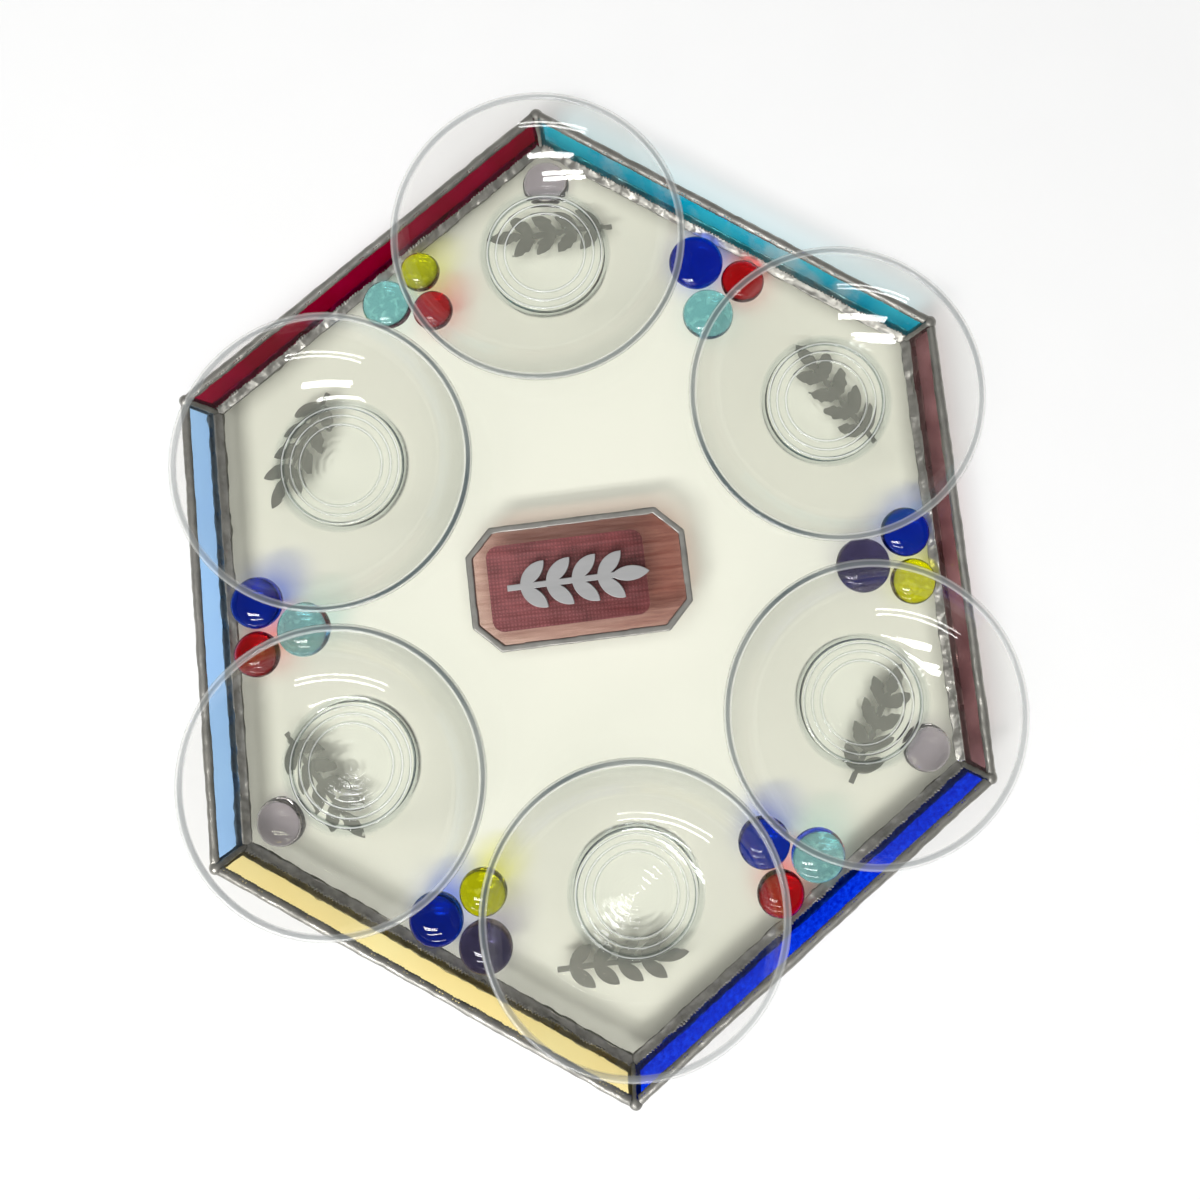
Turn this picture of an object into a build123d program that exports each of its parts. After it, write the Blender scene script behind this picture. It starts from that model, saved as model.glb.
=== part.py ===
"""A hexagonal stained-glass ritual plate: a shallow soldered tray on three nugget feet, with six loose bowls.

Millimetres, +Z up. The set stands on z = 0, with the origin under the middle of its box.
The long axis of the hexagon lies along Y.
"""

import os
from math import cos, hypot, pi, radians, sin, sqrt, tan

from build123d import *

# Bowls, all six alike
bowl_rim_diameter = 94.0
bowl_lip_height = 24.7
bowl_wall = 2.6
bowl_floor_height = 5.0
bowl_floor_round = 20.0
bowl_foot_diameter = 41.0
bowl_foot_height = 2.7
bowl_foot_ring = 3.6
bowl_foot_recess = 1.4
bowl_foot_edge = 0.5

# How the bowls stand in the tray: the room they need sets the size of the hexagon
bowl_gap = 2.9
bowl_to_wall = 37.5
bowl_nudges = {
    "top": (-2.0, 7.1),
    "upper_right": (7.3, 1.3),
    "lower_right": (6.9, 4.1),
    "bottom": (6.7, 7.1),
    "lower_left": (-0.8, 2.5),
    "upper_left": (3.5, -2.9),
}

# Hexagon: the interior angle at its two far corners
apex_angle = 111.0

# Sheet glass
base_thickness = 3.0
strip_thickness = 2.8
strip_width = 11.5
strip_slope = 60.0
joint_gap = 0.4
mitre_gap = 0.8

# Solder
seam_leg = 2.6
seam_under_lap = 0.8
seam_hollow = 0.5
seam_cover = 0.6
seam_roundness = 1.3
bead_leg = 1.5
bead_crown = 1.0
post_radius = 2.3
post_foot = 0.8
post_drop = 1.0

# Glass nuggets
nugget_height = 7.2
nugget_belt = 2.7
nugget_flat_inset = 2.2
nugget_shoulder = 3.0
nugget_gap = 0.3
# On each wall: how far the group sits past the wall's middle and in from the base's edge, then colour and
# diameter of the two that lie against the wall, in clockwise order, and of the one in front of them
nugget_groups = {
    "turquoise": (5.0, 1.4, ("blue", 18.8), ("red", 15.0), ("aqua", 17.6)),
    "mauve": (2.4, 0.6, ("blue", 16.8), ("yellow", 15.6), ("purple", 18.6)),
    "cobalt": (-7.0, 0.6, ("aqua", 18.0), ("red", 15.8), ("blue", 17.4)),
    "amber": (-3.4, 0.6, ("purple", 17.8), ("blue", 17.8), ("yellow", 15.8)),
    "sky": (-2.6, 0.6, ("red", 15.4), ("blue", 17.4), ("aqua", 18.0)),
    "red": (4.3, 0.6, ("aqua", 17.0), ("yellow", 13.8), ("red", 13.8)),
}

# Feet: nuggets glued dome down under alternate corners, each with a small ground flat
foot_diameter = 16.6
foot_ground_flat = 5.0
foot_clearance = 2.5
foot_corners = ("top", "lower_right", "lower_left")

# Plaque
plaque_centre = (-1.5, 2.5)
plaque_turn = 1.0
plaque_length = 71.5
plaque_width = 39.5
plaque_corner_cut = 8.3
plaque_thickness = 3.0
plaque_edging = 0.8
plaque_edging_leg = 1.4
plaque_edging_rise = 0.4
pad_length = 52.4
pad_width = 28.4
pad_thickness = 1.6
pad_corner = 4.0
pad_shift = -3.9

# Raised leaf sprig on the plaque
sprig_thickness = 2.4
sprig_stem_width = 2.0
sprig_stem_length = 36.0
sprig_leaf_length = 11.5
sprig_leaf_width = 5.0
sprig_leaf_angle = 42.0
sprig_leaf_pairs = 4
sprig_tip_length = 13.0

WALLS = ("turquoise", "mauve", "cobalt", "amber", "sky", "red")
CORNERS = ("top", "upper_right", "lower_right", "bottom", "lower_left", "upper_left")

# Plan of the hexagon. Wall k runs clockwise from corner k to corner k + 1.
apex_half = radians(apex_angle / 2)
flank_half = radians((720 - 2 * apex_angle) / 4 / 2)
corner_halves = (apex_half, flank_half, flank_half) * 2
base_side = bowl_rim_diameter + bowl_gap + bowl_to_wall * (1 / tan(apex_half) + 1 / tan(flank_half))
flat_reach = base_side * sin(apex_half)
slant_reach = (base_side / 2 + base_side * cos(apex_half)) * sin(apex_half)
wall_angles = (apex_half, 0.0, -apex_half, apex_half - pi, pi, pi - apex_half)
wall_reaches = (slant_reach, flat_reach, slant_reach) * 2


def cap_radius(radius):
    """Radius of a nugget's cap, which meets its rounded shoulder smoothly."""
    rise = nugget_height - nugget_belt
    return (radius**2 - 2 * radius * nugget_shoulder + rise**2) / (2 * (rise - nugget_shoulder))


# Heights: a foot loses the slice of its cap that is ground away
foot_cap = cap_radius(foot_diameter / 2)
foot_height = nugget_height - foot_cap + sqrt(foot_cap**2 - (foot_ground_flat / 2) ** 2)
base_top = foot_height + base_thickness


def corner(k, offset):
    """Corner k of the hexagon whose walls stand this far outside the base's edge, in plan."""
    before, after = (k - 1) % 6, k % 6
    a, b = wall_angles[before], wall_angles[after]
    p, q = wall_reaches[before] + offset, wall_reaches[after] + offset
    turn = sin(b - a)
    return ((p * sin(b) - q * sin(a)) / turn, (q * cos(a) - p * cos(b)) / turn)


def outline(offset):
    """The hexagon's face at this offset from the base's edge."""
    return make_face(Polyline(*[corner(k, offset) for k in range(6)], close=True))


def arc_about(centre, start, end):
    """The shorter arc from start to end about a centre."""
    first = (Vector(*start) - Vector(*centre)).normalized()
    last = (Vector(*end) - Vector(*centre)).normalized()
    radius = (Vector(*start) - Vector(*centre)).length
    middle = Vector(*centre) + (first + last).normalized() * radius
    return ThreePointArc(start, middle, end)


def turned(edges):
    """The solid that a closed half profile in X and Z sweeps about the Z axis."""
    return revolve(Plane.XZ * make_face(edges), axis=Axis.Z)


# Section of a wall: p is measured outwards from the base's edge, z up from the base's top
slope = radians(strip_slope)
UP = Vector(cos(slope), sin(slope))
OUT = Vector(sin(slope), -cos(slope))
STRIP_FOOT = Vector(joint_gap, 0)


def in_section(across, along):
    """The section point this far through the strip's thickness and this far up its width."""
    return STRIP_FOOT + OUT * across + UP * along


def wall_prism(k, edges):
    """The section swept along wall k, longer than the wall."""
    angle = wall_angles[k]
    normal = Vector(cos(angle), sin(angle), 0)
    middle = (Vector(*corner(k, 0)) + Vector(*corner(k + 1, 0))) / 2
    section = Plane(
        origin=(middle.X, middle.Y, base_top), x_dir=normal, z_dir=normal.cross(Vector(0, 0, 1))
    )
    return extrude(section * make_face(edges), amount=base_side, both=True)


def mitred(k, solid, end_gap):
    """The stretch of a wall prism between the mitre planes at its two corners, less a gap at each."""
    span = 4 * (strip_width + seam_leg)
    along = (Vector(*corner(k + 1, 0)) - Vector(*corner(k, 0))).normalized()
    ends = []
    for index, sign in ((k, 1), (k + 1, -1)):
        shift = along * (sign * end_gap)
        inner, outer = (Vector(*corner(index, s)) + shift for s in (-span, span))
        ends.append((inner, outer))
    (a, b), (c, d) = ends
    wedge = extrude(make_face(Polyline(a, b, d, c, close=True)), amount=2 * span + base_top, both=True)
    return solid & wedge


def strip_solid(k):
    points = [in_section(0, 0), in_section(0, strip_width)]
    points += [in_section(strip_thickness, strip_width), in_section(strip_thickness, 0)]
    return mitred(k, wall_prism(k, Polyline(*points, close=True)), mitre_gap / 2)


def seam_solid(k):
    """Solder between the base and a strip: a hollowed fillet inside, a rounded bead outside and below."""
    on_base = Vector(-seam_leg, 0)
    under_base = Vector(-seam_under_lap, -base_thickness)
    base_edge = Vector(0, -base_thickness)
    strip_heel = in_section(strip_thickness, 0)
    inside = in_section(0, seam_leg)
    outside = in_section(strip_thickness, seam_leg)
    inner_chord = inside - on_base
    towards_joint = Vector(inner_chord.Y, -inner_chord.X).normalized()
    inner_middle = (inside + on_base) / 2 + towards_joint * seam_hollow
    outer_chord = outside - under_base
    away = Vector(outer_chord.Y, -outer_chord.X).normalized()
    reach = max((p - under_base).dot(away) for p in (base_edge, strip_heel))
    outer_middle = (outside + under_base) / 2 + away * (seam_roundness * reach + seam_cover)
    edges = [
        Polyline(on_base, Vector(0, 0), base_edge, under_base),
        ThreePointArc(under_base, outer_middle, outside),
        Polyline(outside, strip_heel, STRIP_FOOT, inside),
        ThreePointArc(inside, inner_middle, on_base),
    ]
    return mitred(k, wall_prism(k, edges), 0)


def bead_solid(k):
    """The round solder bead that caps a strip's top edge."""
    low = strip_width - bead_leg
    crown = in_section(strip_thickness / 2, strip_width + bead_crown)
    inner, outer = in_section(0, low), in_section(strip_thickness, low)
    corners = [in_section(strip_thickness, strip_width), in_section(0, strip_width)]
    edges = [ThreePointArc(inner, crown, outer), Polyline(outer, *corners, inner)]
    return mitred(k, wall_prism(k, edges), 0)


def post_solid(k):
    """A round-ended solder post up the corner between two strips."""
    low = in_section(strip_thickness / 2, post_foot)
    high = in_section(strip_thickness / 2, strip_width - post_drop)
    foot, head = (Vector(*corner(k, p.X), base_top + p.Y) for p in (low, high))
    length = (head - foot).length
    side = Line((post_radius, 0), (post_radius, length))
    top = arc_about((0, length), (post_radius, length), (0, length + post_radius))
    spine = Line((0, length + post_radius), (0, -post_radius))
    bottom = arc_about((0, 0), (0, -post_radius), (post_radius, 0))
    return Plane(origin=foot, z_dir=head - foot) * turned([side, top, spine, bottom])


def nugget_solid(diameter):
    """A flat-backed glass nugget on z = 0: rounded at the back, widest at its belt and domed in front."""
    radius = diameter / 2
    flat = radius - nugget_flat_inset
    back_centre = (radius**2 - flat**2 - nugget_belt**2) / (2 * nugget_flat_inset)
    shoulder_centre = Vector(radius - nugget_shoulder, nugget_belt)
    cap_centre = Vector(0, nugget_height - cap_radius(radius))
    shoulder_end = cap_centre + (shoulder_centre - cap_centre).normalized() * cap_radius(radius)
    edges = [
        Line((0, 0), (flat, 0)),
        arc_about((back_centre, nugget_belt), (flat, 0), (radius, nugget_belt)),
        arc_about(shoulder_centre, (radius, nugget_belt), shoulder_end),
        arc_about(cap_centre, shoulder_end, (0, nugget_height)),
        Line((0, nugget_height), (0, 0)),
    ]
    return turned(edges)


def nugget_places(k):
    """Plan places of a wall's three nuggets: two against the wall and one nested in front of them."""
    past_middle, inset, first, second, front = nugget_groups[WALLS[k]]
    a, b, c = (diameter / 2 for _, diameter in (first, second, front))
    spread = sqrt((a + b + nugget_gap) ** 2 - (a - b) ** 2)
    angle = wall_angles[k]
    out = Vector(cos(angle), sin(angle))
    along = Vector(out.Y, -out.X)
    middle = (Vector(*corner(k, -inset)) + Vector(*corner(k + 1, -inset))) / 2
    meeting = middle + along * past_middle
    one = meeting - along * (spread * a / (a + b)) - out * a
    two = meeting + along * (spread * b / (a + b)) - out * b
    axis = (two - one).normalized()
    inward = Vector(axis.Y, -axis.X)
    if inward.dot(out) > 0:
        inward = inward * -1
    apart, to_one, to_two = (two - one).length, a + c + nugget_gap, b + c + nugget_gap
    reach = (apart**2 + to_one**2 - to_two**2) / (2 * apart)
    three = one + axis * reach + inward * sqrt(to_one**2 - reach**2)
    return zip((first, second, front), (one, two, three))


def foot_solid(k):
    """A nugget glued dome down under a corner, clear of the seam, ground flat where it stands."""
    flat = foot_diameter / 2 - nugget_flat_inset
    inset = flat + seam_under_lap + foot_clearance
    place = Vector(*corner(k, -inset))
    dome = Pos(place.X, place.Y, foot_height) * Rot(180, 0, 0) * nugget_solid(foot_diameter)
    room = Pos(place.X, place.Y, foot_height) * Box(2 * foot_diameter, 2 * foot_diameter, 2 * foot_height)
    return dome & room


def bowl_solid():
    """A bowl on z = 0: both walls are spheres about one centre, with a round lip and a recessed foot."""
    rim, foot = bowl_rim_diameter / 2, bowl_foot_diameter / 2
    rise = bowl_lip_height - bowl_foot_height
    centre = (rim**2 + bowl_lip_height**2 - foot**2 - bowl_foot_height**2) / (2 * rise)
    outer = hypot(foot, centre - bowl_foot_height)
    inner = outer - bowl_wall
    ray = Vector(rim, bowl_lip_height - centre) / outer
    hub = Vector(0, centre)
    lip_outer, lip_inner = hub + ray * outer, hub + ray * inner
    lip_top = hub + ray * (outer - bowl_wall / 2) + Vector(-ray.Y, ray.X) * (bowl_wall / 2)
    drop = centre - bowl_floor_height - bowl_floor_round
    floor_edge = sqrt((inner - bowl_floor_round) ** 2 - drop**2)
    round_centre = Vector(floor_edge, bowl_floor_height + bowl_floor_round)
    wall_start = hub + (round_centre - hub).normalized() * inner
    floor_start = Vector(floor_edge, bowl_floor_height)
    ring = foot - bowl_foot_ring
    edge = bowl_foot_edge
    edges = [
        Polyline((0, bowl_foot_recess), (ring - edge, bowl_foot_recess), (ring, 0), (foot - edge, 0)),
        arc_about((foot - edge, edge), (foot - edge, 0), (foot, edge)),
        Line((foot, edge), (foot, bowl_foot_height)),
        arc_about(hub, (foot, bowl_foot_height), lip_outer),
        ThreePointArc(lip_outer, lip_top, lip_inner),
        arc_about(hub, lip_inner, wall_start),
        arc_about(round_centre, wall_start, floor_start),
        Polyline(floor_start, (0, bowl_floor_height), (0, bowl_foot_recess)),
    ]
    return turned(edges)


def bowl_place(k):
    """Plan place of the bowl near corner k, a little off the even arrangement."""
    dx, dy = bowl_nudges[CORNERS[k]]
    x, y = corner(k, -bowl_to_wall)
    return x + dx, y + dy


def cut_rectangle(length, width, cut):
    """A rectangle with its four corners cut off straight."""
    x, y = length / 2, width / 2
    points = [(x, cut - y), (x, y - cut), (x - cut, y), (cut - x, y)]
    points += [(-x, y - cut), (-x, cut - y), (cut - x, -y), (x - cut, -y)]
    return make_face(Polyline(*points, close=True))


def leaf(length, width):
    """A pointed leaf along X, from the origin."""
    tip, half = (length, 0), (length / 2, width / 2)
    return make_face([ThreePointArc((0, 0), half, tip), ThreePointArc(tip, (half[0], -half[1]), (0, 0))])


def sprig_face():
    """A stem with pairs of leaves and one at its tip, centred on the origin."""
    total = sprig_stem_length + sprig_tip_length - sprig_stem_width
    start = -total / 2
    face = Pos(start + sprig_stem_length / 2, 0) * Rectangle(sprig_stem_length, sprig_stem_width)
    pitch = (sprig_stem_length - sprig_stem_width) / sprig_leaf_pairs
    for pair in range(sprig_leaf_pairs):
        node = start + pitch * (pair + 0.5)
        for side in (1, -1):
            turn = Rot(0, 0, side * sprig_leaf_angle)
            face += Pos(node, 0) * turn * leaf(sprig_leaf_length, sprig_leaf_width)
    tip = Pos(start + sprig_stem_length - sprig_stem_width, 0) * leaf(sprig_tip_length, sprig_leaf_width)
    return face + tip


def plaque_solids():
    """Pad, glass, solder edging and sprig of the plaque, stacked on the base."""
    place = Pos(*plaque_centre, base_top) * Rot(0, 0, plaque_turn)
    glass_face = cut_rectangle(plaque_length, plaque_width, plaque_corner_cut)
    pad_face = Pos(pad_shift, 0) * RectangleRounded(pad_length, pad_width, pad_corner)
    pad = extrude(pad_face, amount=pad_thickness)
    glass = Pos(0, 0, pad_thickness) * extrude(glass_face, amount=plaque_thickness)
    skirt = offset(glass_face, plaque_edging)
    window = offset(glass_face, -plaque_edging_leg)
    depth = plaque_thickness + 2 * plaque_edging_rise
    frame = Pos(0, 0, pad_thickness - plaque_edging_rise) * extrude(skirt - window, amount=depth)
    sprig = Pos(0, 0, pad_thickness + plaque_thickness) * extrude(sprig_face(), amount=sprig_thickness)
    return {
        "plaque_pad": place * pad,
        "plaque_glass": place * glass,
        "plaque_solder": place * (frame - glass),
        "plaque_sprig": place * sprig,
    }


def tray_solids():
    """Base, walls and solder. Posts own the corners, so beads and seams stop at them."""
    base = Pos(0, 0, foot_height) * extrude(outline(0), amount=base_thickness)
    strips = [strip_solid(k) for k in range(6)]
    posts = [post_solid(k) - base - strips[k - 1] - strips[k] for k in range(6)]
    solids = {"base_glass": base}
    for k, wall in enumerate(WALLS):
        ends = posts[k] + posts[(k + 1) % 6]
        solids[f"wall_glass_{wall}"] = strips[k]
        solids[f"rim_solder_{wall}"] = bead_solid(k) - ends
        solids[f"floor_seam_{wall}"] = seam_solid(k) - ends
        solids[f"corner_solder_{CORNERS[k]}"] = posts[k]
    return solids


def nugget_solids():
    solids = {}
    for k, wall in enumerate(WALLS):
        for (colour, diameter), place in nugget_places(k):
            nugget = nugget_solid(diameter)
            solids[f"nugget_{wall}_{colour}"] = Pos(place.X, place.Y, base_top) * nugget
    for name in foot_corners:
        solids[f"foot_{name}"] = foot_solid(CORNERS.index(name))
    return solids


def bowl_solids():
    bowl = bowl_solid()
    return {f"bowl_{name}": Pos(*bowl_place(k), base_top) * bowl for k, name in enumerate(CORNERS)}


def middle_of(solids):
    """The middle of the whole set's box, in plan."""
    boxes = [solid.bounding_box() for solid in solids.values()]
    x = min(box.min.X for box in boxes) + max(box.max.X for box in boxes)
    y = min(box.min.Y for box in boxes) + max(box.max.Y for box in boxes)
    return x / 2, y / 2


def build():
    solids = {**tray_solids(), **nugget_solids(), **plaque_solids(), **bowl_solids()}
    x, y = middle_of(solids)
    return {name: Pos(-x, -y, 0) * solid for name, solid in solids.items()}, (x, y)


parts, set_middle = build()
os.makedirs("parts", exist_ok=True)
for node, shape in parts.items():
    export_step(shape, f"parts/{node}.step")
print(len(parts), "parts, base side", round(base_side, 2), "set middle", [round(v, 3) for v in set_middle])
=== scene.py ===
# %% [markdown]
# # A stained-glass seder plate
#
# The plate is a shallow hexagonal tray of clear and coloured sheet glass, joined with solder. Glass nuggets
# lie along its walls, a small plaque lies in its middle, and six clear glass bowls stand in it. The CAD model
# already has every piece at its size and place. Here each piece gets the surface and finish of the real thing:
# lumpy hand-run solder, uneven nuggets, streaky sheet glass and clear pressed bowls.

import math

import bpy
from mathutils import Matrix, Vector


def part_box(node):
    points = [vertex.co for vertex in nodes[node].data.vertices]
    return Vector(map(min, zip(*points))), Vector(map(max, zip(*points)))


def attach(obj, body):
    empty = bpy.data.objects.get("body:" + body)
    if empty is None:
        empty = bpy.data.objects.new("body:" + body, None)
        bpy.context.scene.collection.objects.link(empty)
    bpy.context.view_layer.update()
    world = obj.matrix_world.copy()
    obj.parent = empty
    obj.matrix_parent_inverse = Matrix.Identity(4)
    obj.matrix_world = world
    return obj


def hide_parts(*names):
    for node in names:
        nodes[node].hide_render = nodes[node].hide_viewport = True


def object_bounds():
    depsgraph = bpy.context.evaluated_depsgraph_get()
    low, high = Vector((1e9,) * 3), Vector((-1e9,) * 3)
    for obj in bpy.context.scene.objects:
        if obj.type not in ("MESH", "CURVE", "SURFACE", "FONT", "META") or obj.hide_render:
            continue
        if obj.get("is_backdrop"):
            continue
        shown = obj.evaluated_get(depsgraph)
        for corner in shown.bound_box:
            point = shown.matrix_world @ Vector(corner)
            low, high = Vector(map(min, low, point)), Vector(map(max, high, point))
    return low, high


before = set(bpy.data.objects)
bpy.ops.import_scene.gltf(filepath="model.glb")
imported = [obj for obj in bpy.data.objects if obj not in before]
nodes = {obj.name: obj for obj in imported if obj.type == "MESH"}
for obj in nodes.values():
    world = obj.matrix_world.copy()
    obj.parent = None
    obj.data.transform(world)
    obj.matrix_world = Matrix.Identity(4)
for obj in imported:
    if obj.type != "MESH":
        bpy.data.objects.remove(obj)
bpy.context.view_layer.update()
MM = 0.001
tray_low, tray_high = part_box("base_glass")
tray_middle = (tray_low + tray_high) / 2
base_top, base_bottom = tray_high.z, tray_low.z

# %% [markdown]
# ## Camera
#
# The photograph looks straight down on the tray from about a third of a metre, with the tray turned a few
# degrees. So near a camera makes the bowls' rims swell outwards, which a far one with a long lens would not
# show. The lens and the place are those that put the corners of the hexagon and the rims of the bowls where
# the photograph has them. The photograph is cropped off centre, and the shift says by how much.

# %% Camera
CAMERA_SPOT = Vector((23.5, 13.5, 338.2)) * MM
CAMERA_TURN = (math.radians(5.405), math.radians(-0.754), math.radians(-6.223))
SENSOR_WIDTH, LENS = 36.0, 30.0
FRAME_SHIFT = (-0.0533, -0.1308)
tray_face = Vector((tray_middle.x, tray_middle.y, base_top))
bpy.ops.object.camera_add(location=tray_face + CAMERA_SPOT, rotation=CAMERA_TURN)
camera = bpy.context.object
camera.name = "overhead_camera"
camera.data.sensor_width, camera.data.lens = SENSOR_WIDTH, LENS
camera.data.shift_x, camera.data.shift_y = FRAME_SHIFT
bpy.context.scene.camera = camera
bpy.context.scene.view_settings.view_transform = "Standard"
print("camera", round(CAMERA_SPOT.z / MM), "mm above the glass")

# %% [markdown]
# ## Sums with shader sockets
#
# A finish is a small network of nodes. Written one node at a time it is hard to read, so one class wraps a
# socket: an operator such as + adds a Math node, and the node method adds any other kind, with its settings
# first and then the values or links of its sockets. Colours are written as red, green and blue.


# %% A socket that takes part in sums
class Wire:
    """One socket of a shader network."""

    def __init__(self, tree, socket=None):
        self.tree = tree
        self.socket = socket

    def node(self, kind, sockets=None, output=0, **settings):
        """Add a node: its settings first, then its sockets' values or links. Gives one of its outputs."""
        made = self.tree.nodes.new("ShaderNode" + kind)
        for name, value in settings.items():
            setattr(made, name, value)
        for key, value in (sockets or {}).items():
            socket = made.inputs[key]
            if isinstance(value, Wire):
                self.tree.links.new(value.socket, socket)
            elif socket.type == "RGBA":
                socket.default_value = (*value, 1.0)
            else:
                socket.default_value = value
        return Wire(self.tree, made.outputs[output])

    def maths(self, operation, *terms):
        return self.node("Math", dict(enumerate(terms)), operation=operation)

    def __add__(self, other):
        return self.maths("ADD", self, other)

    def __sub__(self, other):
        return self.maths("SUBTRACT", self, other)

    def __rsub__(self, other):
        return self.maths("SUBTRACT", other, self)

    def __mul__(self, other):
        return self.maths("MULTIPLY", self, other)

    def __abs__(self):
        return self.maths("ABSOLUTE", self)

    __radd__ = __add__
    __rmul__ = __mul__

    def between(self, low, high):
        """This value spread from 0 at low to 1 at high, and held there outside."""
        return self.node("MapRange", {"Value": self, "From Min": low, "From Max": high}, clamp=True)

    def blend(self, first, second):
        """The first colour where this value is 0 and the second where it is 1."""
        return self.node("Mix", {0: self, 6: first, 7: second}, output=2, data_type="RGBA")


# %% Networks and what they often need
def new_finish(name):
    """An empty node material, and a pen to write its network with."""
    material = bpy.data.materials.new(name)
    material.use_nodes = True
    material.node_tree.nodes.clear()
    return material, Wire(material.node_tree)


def show(pen, shader, kind="OutputMaterial"):
    """End the network with what is to be seen."""
    out = pen.tree.nodes.new("ShaderNode" + kind)
    pen.tree.links.new(shader.socket, out.inputs["Surface"])


def mix(pen, share, first, second):
    """Two shaders in one, with this share of the second."""
    return pen.node("MixShader", {0: share, 1: first, 2: second})


def spots(pen, scale, detail=3.0, stretch=(1.0, 1.0, 1.0)):
    """Cloudy noise in the object's own coordinates, so many spots to a metre, drawn out where asked."""
    place = pen.node("TexCoord", output="Object")
    laid = pen.node("Mapping", {"Vector": place, "Scale": stretch})
    return pen.node("TexNoise", {"Vector": laid, "Scale": scale, "Detail": detail})


def bump(pen, strength, depth, height):
    """A normal that tilts as if the surface rose and fell by this depth."""
    return pen.node("Bump", {"Strength": strength, "Distance": depth, "Height": height})


def facing_up(pen):
    """1 where the surface faces up, 0 where it is upright and -1 where it faces down."""
    return pen.node("SeparateXYZ", {0: pen.node("NewGeometry", output="Normal")}, output="Z")


def dimmed(colour, share):
    return tuple(v * share for v in colour)


def dress(obj, finish):
    """Give an object this finish in place of those it has."""
    obj.data.materials.clear()
    obj.data.materials.append(finish)


# %% [markdown]
# ## Floor and light
#
# The plate was photographed on white paper in a dim room with rows of ceiling tubes. A pale floor and a grey
# room stand in for it. A broad soft lamp overhead gives most of the light, and is kept out of the reflections,
# which would lose their deep colours to it. The near pair of tubes throws the shadows towards the upper right,
# and every nugget shows it as a short white line. Two rows farther off, one high and one low, only show in the
# glass, as the second line in a nugget and the arcs in the bowls, so they are kept from lighting the paper.

# %% Floor
FLOOR_SIZE = 6.0
PAPER_GRAIN = 40.0
PAPER_DULL, PAPER_BRIGHT = (0.95, 0.95, 0.945), (0.97, 0.97, 0.965)
bpy.ops.object.select_all(action="DESELECT")
bpy.ops.mesh.primitive_plane_add(size=FLOOR_SIZE)
floor = bpy.context.object
floor.name = "paper_floor"
floor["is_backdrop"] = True
paper, pen = new_finish("white_paper")
paper_white = spots(pen, PAPER_GRAIN).blend(PAPER_DULL, PAPER_BRIGHT)
show(pen, pen.node("BsdfDiffuse", {"Color": paper_white}))
dress(floor, paper)
print("floor", FLOOR_SIZE, "m across")

# %% Room
ROOM_WALLS, ROOM_CEILING = (0.17, 0.17, 0.17), (0.09, 0.09, 0.09)
CEILING_FROM = 0.8
room = bpy.data.worlds.new("grey_room")
room.use_nodes = True
room.node_tree.nodes.clear()
pen = Wire(room.node_tree)
around = pen.node("TexCoord", output="Generated")
up = pen.node("SeparateXYZ", {0: around}, output="Z")
room_grey = up.between(0.0, CEILING_FROM).blend(ROOM_WALLS, ROOM_CEILING)
show(pen, pen.node("Background", {"Color": room_grey, "Strength": 1.0}), "OutputWorld")
bpy.context.scene.world = room
print("room", room.name)

# %% Lamps
# The place, length, width and watts of each lamp.
LAMPS = {
    "near_tube_0": ((-0.70, -0.86, 1.45), 0.9, 0.065, 5.6),
    "near_tube_1": ((-0.70, -1.0, 1.45), 0.9, 0.065, 5.6),
    "high_row": ((-0.70, -1.92, 1.72), 1.4, 0.12, 12.0),
    "low_row": ((-0.70, -1.92, 0.72), 1.65, 0.05, 5.0),
    "soft_ceiling": ((-0.25, -0.35, 2.2), 2.4, 2.4, 50.0),
}


def panel(name, spot, length, width, watts):
    """A lamp aimed at the tray, its length as nearly along X as that allows."""
    back = (Vector(spot) - tray_face).normalized()
    long_way = (Vector((1, 0, 0)) - back * back.x).normalized()
    aim = Matrix((long_way, back.cross(long_way), back)).transposed().to_euler()
    bpy.ops.object.light_add(type="AREA", location=spot, rotation=aim)
    lamp = bpy.context.object
    lamp.name = name
    lamp.data.shape = "RECTANGLE"
    lamp.data.size, lamp.data.size_y = length, width
    lamp.data.energy = watts
    return lamp


lamps = {name: panel(name, *values) for name, values in LAMPS.items()}
lamps["high_row"].visible_diffuse = lamps["low_row"].visible_diffuse = False
fill = lamps["soft_ceiling"]
fill.visible_glossy = fill.visible_transmission = False
print("lamps", ", ".join(lamps))

# %% [markdown]
# ## Clear and coloured glass
#
# Glass is shown by a Principled shader with full transmission: it reflects, and bends what lies behind it.
# Left alone it would throw a black shadow, because light can't find its way through two bending surfaces. So
# for the rays that carry light to the paper and the solder, the glass is plain transparent with its own tint,
# and darker where it is met at a slant, as the rim of a bowl is.


# %% Glass that lets lamplight through
def lit_through(pen, body, tint, edge_tint, blend=0.35):
    """The body as it is seen, with tinted transparency for the light that passes it."""
    to_lamp = pen.node("LightPath", output="Is Shadow Ray")
    from_matt = pen.node("LightPath", output="Is Diffuse Ray")
    slant = pen.node("LayerWeight", {"Blend": blend}, output="Facing")
    flat = pen.node("BsdfTransparent", {"Color": tint})
    edge = pen.node("BsdfTransparent", {"Color": edge_tint})
    return mix(pen, pen.maths("MAXIMUM", to_lamp, from_matt), body, mix(pen, slant, flat, edge))


def glass_body(pen, colour, clearness=1.0, ior=1.5, **sockets):
    values = {"Base Color": colour, "Transmission Weight": clearness, "IOR": ior, "Roughness": 0.0}
    return pen.node("BsdfPrincipled", {**values, **sockets})


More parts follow.
